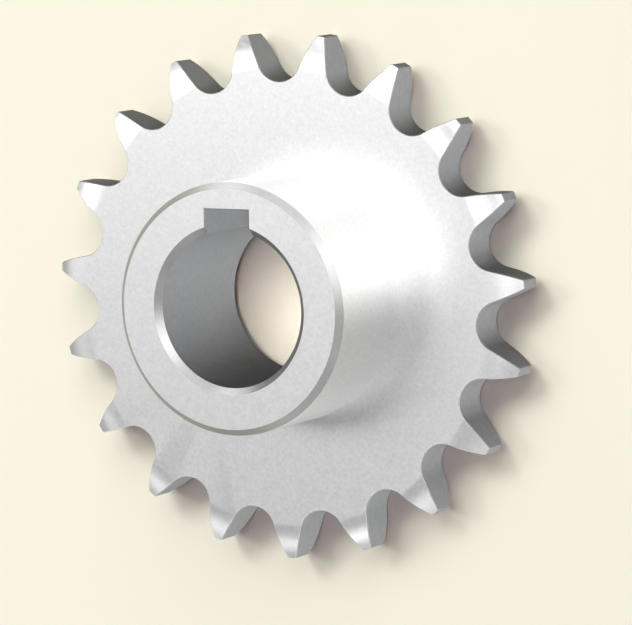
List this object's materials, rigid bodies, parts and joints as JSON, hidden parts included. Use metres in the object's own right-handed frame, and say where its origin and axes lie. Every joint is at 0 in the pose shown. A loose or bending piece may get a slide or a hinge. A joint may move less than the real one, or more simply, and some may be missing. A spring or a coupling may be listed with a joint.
{
  "type": "chain sprocket",
  "caption": "Steel roller chain sprocket: a toothed disc with relieved tooth sides, a round boss on one face and a chamfered bore with a keyway.",
  "frame": {"origin": "on the bore's axis, in the plane of the tooth disc's flat back face", "axes": "+Z along the bore, from the disc's back towards the boss; +Y through the middle of the keyway and of one tooth gap"},
  "size_m": [0.0846, 0.0843, 0.025],
  "materials": {
    "steel": "satin, finely machined"
  },
  "bodies": {
    "root": {"sprocket": "steel"}
  },
  "joints": []
}
